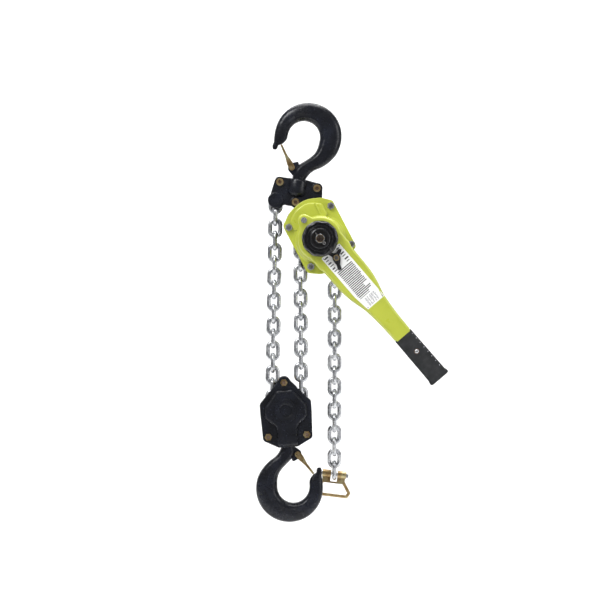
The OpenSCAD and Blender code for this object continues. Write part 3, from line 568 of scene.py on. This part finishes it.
def sleeve_ring(half_width, half_depth, s, steps=40):
    """The grip's cross-section at s from the shaft: a rectangle with generous corners."""
    ring = []
    for k in range(steps):
        c, v = polar(1, 360 * k / steps)
        x = half_width * math.copysign(abs(c) ** 0.32, c)
        y = LEVER_Y + half_depth * math.copysign(abs(v) ** 0.42, v)
        ring.append((x * MM, y * MM, -s * MM))
    return ring


def grip():
    """The rubber sleeve with its flared end, the raised dashes along one edge, their grey a painted
    highlight, and the screw through it.
    """
    stations = [(20.5, 12, 287.2), (22, 13.4, 287.2), (22.6, 14, 288.6), (22.6, 14, 292)]
    stations += [(22.6 + 0.9 * (s - 292) / 112, 13.9, s) for s in range(300, 401, 10)]
    stations += [(23.6, 13.9, 405), (24.8, 14, 408.5), (25.4, 14, 411), (25.3, 14, 414), (24, 13.2, 416.2),
                 (20, 10.5, 416.9)]
    sleeve = bmesh.new()
    loft(sleeve, [sleeve_ring(*station) for station in stations])
    finish_piece("grip_sleeve", sleeve, LEVER, "lever", "grip_rubber", ("grip",), smooth=60)
    # The dashes' light grey is painted highlight: the glints on small raised ribs of the black rubber
    dashes = bmesh.new()
    for k in range(8):
        z = -299 - 13.4 * k
        prism(dashes, rounded_box(18, 20.2, z, z + 2.2, 0.5, 3), -86.9, -85)
    finish_piece("grip_edge_dashes_painted_highlight", dashes, LEVER, "lever", "grip_rubber", bevel=0.3, look=GREY_INK_AND_PAINTED_HIGHLIGHT)
    cup = bmesh.new()
    lathe(cup, [(6.2, -87.1), (6.2, -86.2)], GRIP_SCREW)
    finish_piece("grip_screw_cup", cup, LEVER, "lever", "grip_rubber", look=LINING)
    head = bmesh.new()
    lathe(head, [(4.9, -87), (4.7, -88.2), (3.6, -89.2), (1.8, -89.6), (1.2, -88.4), (0.4, -88.2)],
          GRIP_SCREW, 40)
    finish_piece("grip_screw_head", head, LEVER, "lever", "bright_zinc", smooth=40)


# ---------------------------------------------------------------- label
LABEL_FRONT = -87.45
PRINT_FRONT = -87.62


def label():
    """The film, generic bars in place of its text, and the dots at its corners."""
    film = bmesh.new()
    prism(film, rounded([(-27, -36, 2), (26.4, -36, 2), (26.4, -192, 2), (-22, -192, 2), (-27, -150, 3)]),
          LABEL_FRONT, -87.02)
    finish_piece("label_film", film, LEVER, "lever", "label_film", ("label_plate",))
    ink, grey = bmesh.new(), bmesh.new()

    def bar(bm, x0, x1, s, height):
        prism(bm, rounded_box(x0, x1, -s - height, -s), PRINT_FRONT, -87.4)

    for k in range(18):
        bar(ink, -21 + rng.uniform(0, 1), rng.choice((22, 22, 20, 10)) - rng.uniform(0, 2), 84 + 4.3 * k, 2.1)
    for side in (-1, 1):
        for k in range(6):
            bar(ink, side * 18 - 5.5, side * 18 + rng.uniform(1, 5), 41 + 7.2 * k, 1.8 if k % 2 else 3.2)
    bar(ink, -20, 8, 162, 1.2)
    for k in range(8):
        for x in range(-13, 12, 6):
            bar(grey, x + rng.uniform(0, 2), x + rng.uniform(3, 5.5), 168 + 2.7 * k, 1.5)
    finish_piece("label_print", ink, LEVER, "lever", "label_film", look=INK)
    finish_piece("label_fine_print", grey, LEVER, "lever", "label_film", look=GREY_INK_AND_PAINTED_HIGHLIGHT)
    dots = bmesh.new()
    for corner in ((-24, -39.5), (23.4, -39.5), (23.4, -188.5), (-19, -188.5)):
        lathe(dots, [(1.3, -88), (1.3, -87.4)], corner, steps=16)
    finish_piece("label_rivets", dots, LEVER, "lever", "bright_zinc", bevel=0.3, look=STEEL)


# ---------------------------------------------------------------- selector and handwheel
SELECTOR = (0, -56.6)
SELECTOR_TURN = math.radians(24)
WHEEL_TURN = 0.1                # radians
WHEEL_LOBES = 10
WHEEL_STEPS = 120
# Radius and y, from the bore across the back, round the rim and over the face's rings and hub
WHEEL_PROFILE = (
    (8.3, -98), (38, -98), (40.2, -99), (41.3, -100.6), (41.3, -104.6), (40.3, -105.4), (40, -117),
    (39.2, -119.6), (37.6, -121), (35.4, -121.4), (34.2, -120.2), (33.6, -117.6), (32, -116.4),
    (30.4, -116.6), (29.6, -118.8), (28.2, -119.2), (27.2, -118.6), (26.6, -116.8), (25.4, -116.6),
    (24.2, -117.4), (23.4, -122.4), (22, -123.8), (19, -124), (18.8, -123.6), (18.6, -119.2),
    (14.4, -118.4), (13.8, -116.2), (8.3, -116.2))
COIL_R = 9.3
COIL_WIRE_R = 0.8
COIL_PITCH = 8 / 3
COIL_TURNS = 3
COIL_STEPS = 24                 # per turn
COIL_SEAT_Y = -117              # in the wheel's recess


def selector():
    """Two short horns and a tail, with a raised hub and a rib down the tail."""
    own = LEVER @ place((SELECTOR[0] * MM, 0, SELECTOR[1] * MM), SELECTOR_TURN)
    arms = bmesh.new()
    prism(arms, rounded([
        (-5, -29, 4), (5, -29, 4), (4, -17, 4), (9, -4, 6), (8.5, 4, 3), (16.5, 13, 3), (12, 18.6, 3),
        (0, 9.5, 6), (-12, 18.6, 3), (-16.5, 13, 3), (-8.5, 4, 3), (-9, -4, 6), (-4, -17, 4)]), -93.2, -89.6)
    finish_piece("selector_arms", arms, own, "selector", "handwheel_black", ("selector_lever",), bevel=1.2)
    hub = bmesh.new()
    lathe(hub, [(9.2, -91), (9, -94), (8, -95.3), (7, -95.5), (4.6, -95.5), (4.6, -91)])
    prism(hub, rounded([(-3.4, -28, 2), (3.4, -28, 2), (2.6, -6, 1), (-2.6, -6, 1)]), -95.2, -92.6)
    finish_piece("selector_hub", hub, own, "selector", "handwheel_black", bevel=0.7, smooth=45)


def handwheel():
    """A ring-shaped section turned about the shaft, with shallow lobes that fade in towards the rim."""
    rings = []
    for r, y in WHEEL_PROFILE:
        depth = max(0.0, min(1.0, (r - 30) / 8)) * (0.35 if y > -105 else 1.0)
        ring = []
        for k in range(WHEEL_STEPS):
            a = 2 * math.pi * k / WHEEL_STEPS
            reach = r - depth + depth * math.cos(WHEEL_LOBES * a)
            ring.append((reach * math.cos(a) * MM, y * MM, reach * math.sin(a) * MM))
        rings.append(ring)
    rings.append(rings[0])
    bm = bmesh.new()
    loft(bm, rings, close=False)
    finish_piece("handwheel_casting", bm, place(DRIVE, WHEEL_TURN), "handwheel", "handwheel_black",
                 ("handwheel",), smooth=60)


def handwheel_spring():
    """Coil between the handwheel's recess and the castle nut, on its own copy of the mesh."""
    rings = []
    for i in range(COIL_TURNS * COIL_STEPS + 1):
        a = 2 * math.pi * i / COIL_STEPS
        out = Vector((math.cos(a), 0, math.sin(a)))
        centre = COIL_R * out + Vector((0, COIL_SEAT_Y - COIL_PITCH * i / COIL_STEPS, 0))
        section = [polar(COIL_WIRE_R, 36 * k) for k in range(10)]
        rings.append([(centre + p.x * out + Vector((0, p.y, 0))) * MM for p in section])
    bm = bmesh.new()
    loft(bm, rings)
    coil = finish_piece("handwheel_spring_coil", bm, place(DRIVE, 0), "handwheel", "bright_zinc",
                        ("handwheel_spring",), smooth=60)
    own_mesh(coil)


# ---------------------------------------------------------------- bottom block
BLOCK_OUTLINE = rounded([
    (-15.6, 65.6, 12), (0, 91.4, 14), (15.6, 65.6, 12), (59, 18, 8), (59, -2, 30), (56.5, -65.6, 9),
    (22, -83.6, 8), (-22, -83.6, 8), (-56.5, -65.6, 9), (-59, -2, 30), (-59, 18, 8)])
PAN_OUTLINE = rounded([
    (18.6, 47.6, 6), (48.5, 11.8, 9), (49.5, -14, 14), (23.6, -38, 18), (22.6, -81.6, 5), (-22.6, -81.6, 5),
    (-23.6, -38, 18), (-49.5, -14, 14), (-48.5, 11.8, 9), (-18.6, 47.6, 6)])
PAN_CENTRE = (0, -10)
# The pan's levels out from the middle of the block, and how far its outline is drawn in there
PAN_LEVELS = ((24, -0.2), (25.2, 0), (30.6, 1.6), (32.4, 2.8), (33.5, 4.6), (33.9, 7))
AXLE_BOSS = ((27.2, 33), (27, 34.6), (26, 35.7), (24, 35.9), (16, 35.9), (14.6, 35.2), (13.4, 35), (9.4, 35),
             (9.4, 30), (27.2, 30))
BLOCK_BOLTS = ((0, 64), (44, -57.5), (-44, -57.5))
PLATE_DEPTHS = (19.6, 24.9)     # the plates, inner and outer faces from the middle


def block_shell(node, side):
    """One side of the block, at the front for side -1: plate, drawn pan and the axle's stepped boss."""
    plate = bmesh.new()
    prism(plate, BLOCK_OUTLINE, *sorted(side * y for y in PLATE_DEPTHS))
    finish_piece(node + "_plate", plate, BLOCK, "bottom_block", "black_paint", (node,), bevel=1.6, segments=4)
    pan = bmesh.new()
    raised(pan, lambda inset: drawn_in(PAN_OUTLINE, inset, PAN_CENTRE),
           [(side * y, inset) for y, inset in PAN_LEVELS])
    finish_piece(node + "_pan", pan, BLOCK, "bottom_block", "black_paint", smooth=45)
    boss = bmesh.new()
    lathe(boss, [(r, side * y) for r, y in AXLE_BOSS])
    finish_piece(node + "_axle_boss", boss, BLOCK, "bottom_block", "black_paint", smooth=40)


def block_bolt_ends():
    ends = bmesh.new()
    for bolt in BLOCK_BOLTS:
        lathe(ends, [(4.3, -34.1), (4.3, -33.5)], bolt, 32)
    finish_piece("block_bolt_ends", ends, BLOCK, "bottom_block", "yellow_zinc", look=LINING)


# ---------------------------------------------------------------- nodes that keep the CAD's own shapes
SLOT_NODES = {  # every node that isn't named here is machined steel
    "black_paint": ("idler_axle", "dead_end_pin", "front_side_plate", "rear_side_plate", "chain_guide"),
    "yellow_zinc": ("top_latch_pin", "yoke_bolts", "castle_nut", "selector_nut", "block_bolts",
                    "bottom_latch_pin", "stop_ring"),
    "bright_zinc": ("stay_nuts", "pawl_pins", "lever_screws", "grip_screw", "stop_pin"),
    "chain_zinc": ("chain_dead_upper", "chain_on_sheave", "chain_falls", "chain_tail"),
    "bush_bronze": ("gear_bushes",),
    "friction_lining": ("friction_discs",)}
NODE_SLOT = {node: slot for slot, nodes in SLOT_NODES.items() for node in nodes}
NODE_BEVEL = {
    "stop_ring": 0.9, "chain_guide": 1.0, "castle_nut": 0.4, "stay_nuts": 0.7, "block_bolts": 0.7,
    "front_side_plate": 0.6, "rear_side_plate": 0.6, "dead_end_pin": 0.8, "suspension_pin": 0.8,
    "selector_nut": 0.4, "grip_screw": 0.5}
NO_BEVEL = SLOT_NODES["chain_zinc"] + (
    "disc_gear_upper", "disc_gear_lower", "load_gear", "drive_gear", "split_pin")


def finish_nodes():
    for node, piece in frame["nodes"].items():
        if piece.hide_render:
            continue
        slot = NODE_SLOT.get(node, "machined_steel")
        piece.data.materials.clear()
        piece.data.materials.append(OXIDE if node == "drive_shaft" else SLOT_LOOK[slot])
        shade(piece, 40)
        if node not in NO_BEVEL:
            add_bevel(piece, NODE_BEVEL.get(node, 0.35), 2, 34)


# ---------------------------------------------------------------- studio
FLOOR_Z = -1.16
FLOOR_END_Y = 0.9
SWEEP_R = 0.6


def paper():
    """White card, clear from behind, so that the hoist can be seen from every side."""
    material = bpy.data.materials.new("backdrop_paper")
    material.use_nodes = True
    nodes, links = material.node_tree.nodes, material.node_tree.links
    card = nodes["Principled BSDF"]
    card.inputs["Base Color"].default_value = (0.9, 0.9, 0.9, 1)
    card.inputs["Roughness"].default_value = 0.95
    mix = nodes.new("ShaderNodeMixShader")
    clear = nodes.new("ShaderNodeBsdfTransparent")
    side = nodes.new("ShaderNodeNewGeometry")
    links.new(side.outputs["Backfacing"], mix.inputs[0])
    links.new(card.outputs[0], mix.inputs[1])
    links.new(clear.outputs[0], mix.inputs[2])
    links.new(mix.outputs[0], nodes["Material Output"].inputs["Surface"])
    return material


def backdrop():
    """A floor that sweeps up into a wall."""
    sweep = arc((FLOOR_END_Y, FLOOR_Z + SWEEP_R), SWEEP_R, -90, 0, 9)
    rows = [(-1.2, FLOOR_Z)] + sweep + [(FLOOR_END_Y + SWEEP_R, 2.2)]
    bm = bmesh.new()
    lines = [[bm.verts.new((x, y, z)) for x in (-4, 4)] for y, z in rows]
    for a, b in zip(lines, lines[1:]):
        bm.faces.new((a[0], a[1], b[1], b[0]))
    mesh = bpy.data.meshes.new("backdrop")
    bm.to_mesh(mesh)
    bm.free()
    piece = bpy.data.objects.new("backdrop", mesh)
    bpy.context.scene.collection.objects.link(piece)
    shade(piece, 180)
    mesh.materials.append(paper())
    return piece


def area(name, at, towards, size, power):
    data = bpy.data.lights.new(name, "AREA")
    data.shape = "RECTANGLE"
    data.size, data.size_y = size
    data.energy = power
    lamp = bpy.data.objects.new(name, data)
    lamp.location = at
    lamp.rotation_euler = (Vector(towards) - Vector(at)).to_track_quat("-Z", "Y").to_euler()
    bpy.context.scene.collection.objects.link(lamp)
    return lamp


def camera():
    lens = bpy.data.cameras.new("camera")
    lens.lens = 157.2
    lens.sensor_width = 36
    lens.clip_end = 50
    lens.dof.use_dof = False
    piece = bpy.data.objects.new("camera", lens)
    piece.location = (-0.0089, -6, -0.3726)
    piece.rotation_euler = (math.radians(90), 0, 0)
    bpy.context.scene.collection.objects.link(piece)
    bpy.context.scene.camera = piece


def studio():
    key = area("key", (-1.3, -2.0, 1.3), (0, 0, -0.4), (1.0, 1.0), 40)
    fill = area("fill", (1.9, -1.4, 0.1), (0, 0, -0.45), (0.7, 1.9), 13)
    top = area("top", (0.1, -0.5, 1.5), (0, 0, -0.4), (1.2, 0.8), 16)
    wash = area("wall_wash", (0, 0.5, 2.0), (0, 1.5, -0.5), (2.5, 0.6), 62)
    backdrop()
    scene = bpy.context.scene
    scene.world = scene.world or bpy.data.worlds.new("studio")
    scene.world.use_nodes = True
    sky = scene.world.node_tree.nodes["Background"]
    sky.inputs["Color"].default_value = (1, 1, 1, 1)
    sky.inputs["Strength"].default_value = 0.34
    scene.view_settings.view_transform = "Standard"
    scene.view_settings.exposure = 0.15
    camera()


# ---------------------------------------------------------------- the hoist, then the studio
hook("top_hook", YOKE, "top_hook")
hook("bottom_hook", LOW_HOOK, "bottom_hook")
latch("top_latch", YOKE, "top_latch")
latch("bottom_latch", LOW_HOOK, "bottom_latch")
yoke("yoke_front", -1)
yoke_bolt_sockets()
yoke("yoke_rear", 1)
brake_cover()
gear_cover()
lever_case()
grip()
handwheel()
handwheel_spring()
label()
selector()
block_shell("block_front", -1)
block_shell("block_rear", 1)
block_bolt_ends()
finish_nodes()
studio()
